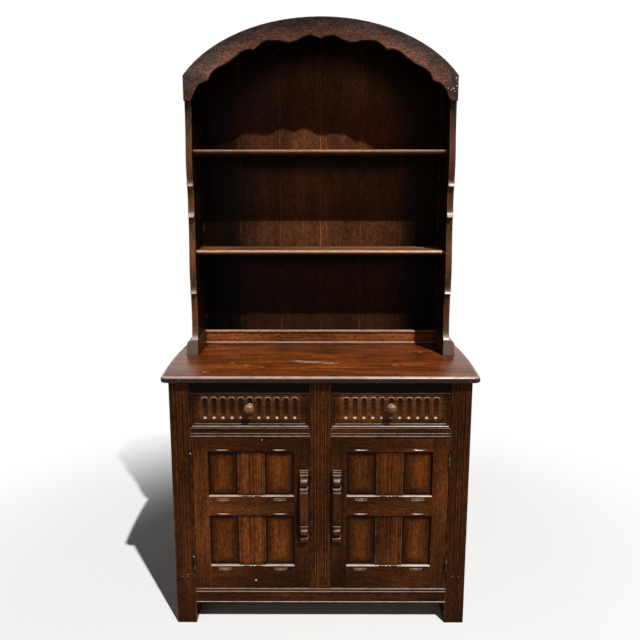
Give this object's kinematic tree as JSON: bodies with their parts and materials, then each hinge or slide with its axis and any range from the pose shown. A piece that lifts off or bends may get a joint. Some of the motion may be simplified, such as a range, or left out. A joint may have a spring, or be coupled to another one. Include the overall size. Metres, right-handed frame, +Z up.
{
  "type": "kitchen dresser",
  "caption": "Oak kitchen dresser: fluted drawers over framed, carved doors, and an open plate rack with stepped sides and a scalloped arch.",
  "frame": {"origin": "on the floor, under the middle of the whole dresser", "axes": "+Z up; the drawers and doors face -Y; +X to the right as seen from the front"},
  "size_m": [0.9366, 0.4552, 1.8139],
  "materials": {
    "frame_oak": "dark brown polished oak",
    "panel_oak": "mid brown carved oak, polished",
    "top_oak": "reddish brown oak, glossy and worn",
    "rack_oak": "dark brown oak, satin",
    "arch_oak": "greyish brown oak, faded satin",
    "lining_oak": "plain unpolished oak",
    "knob_wood": "turned wood, coppery brown polish",
    "brass": "aged brass"
  },
  "bodies": {
    "carcass": {"front_post_left": "frame_oak", "front_post_right": "frame_oak", "end_board_left": "frame_oak", "end_board_right": "frame_oak", "top_rail": "frame_oak", "centre_stile": "frame_oak", "mid_rail_left": "frame_oak", "mid_rail_right": "frame_oak", "bottom_rail": "frame_oak", "shoe_left": "frame_oak", "shoe_right": "frame_oak", "gallery": "frame_oak", "bottom_board": "lining_oak", "cupboard_shelf": "lining_oak", "back_board": "lining_oak", "drawer_runner_left": "lining_oak", "drawer_runner_right": "lining_oak", "centre_drawer_divider": "lining_oak", "rack_side_left": "rack_oak", "rack_side_right": "rack_oak", "rack_back": "rack_oak", "lower_shelf": "rack_oak", "upper_shelf": "rack_oak", "roof": "rack_oak", "arch_board": "arch_oak", "worktop": "top_oak", "hinge_left_lower_post_leaf": "brass", "hinge_left_upper_post_leaf": "brass", "hinge_right_lower_post_leaf": "brass", "hinge_right_upper_post_leaf": "brass"},
    "drawer_left": {"drawer_left_front": "panel_oak", "drawer_left_knob": "knob_wood", "drawer_left_back": "lining_oak", "drawer_left_bottom": "lining_oak", "drawer_left_inner_side": "lining_oak", "drawer_left_outer_side": "lining_oak"},
    "door_left": {"door_left_closing_stile": "frame_oak", "door_left_hinge_stile": "frame_oak", "door_left_top_rail": "frame_oak", "door_left_mid_rail": "frame_oak", "door_left_bottom_rail": "frame_oak", "door_left_panel": "panel_oak", "door_left_pull": "panel_oak", "hinge_left_lower_door_leaf": "brass", "hinge_left_upper_door_leaf": "brass"},
    "drawer_right": {"drawer_right_front": "panel_oak", "drawer_right_knob": "knob_wood", "drawer_right_back": "lining_oak", "drawer_right_bottom": "lining_oak", "drawer_right_inner_side": "lining_oak", "drawer_right_outer_side": "lining_oak"},
    "door_right": {"door_right_closing_stile": "frame_oak", "door_right_hinge_stile": "frame_oak", "door_right_top_rail": "frame_oak", "door_right_mid_rail": "frame_oak", "door_right_bottom_rail": "frame_oak", "door_right_panel": "panel_oak", "door_right_pull": "panel_oak", "hinge_right_lower_door_leaf": "brass", "hinge_right_upper_door_leaf": "brass"}
  },
  "joints": [
    {"name": "drawer_left_slide", "type": "slide", "parent": "carcass", "child": "drawer_left", "axis": [0, -1, 0], "range_m": [0, 0.29]},
    {"name": "drawer_right_slide", "type": "slide", "parent": "carcass", "child": "drawer_right", "axis": [0, -1, 0], "range_m": [0, 0.29]},
    {"name": "door_left_swing", "type": "hinge", "parent": "carcass", "child": "door_left", "pos_m": [-0.3806, -0.201, 0.1175], "axis": [0, 0, -1], "range_deg": [0, 165]},
    {"name": "door_right_swing", "type": "hinge", "parent": "carcass", "child": "door_right", "pos_m": [0.3806, -0.201, 0.1175], "axis": [0, 0, 1], "range_deg": [0, 165]}
  ]
}
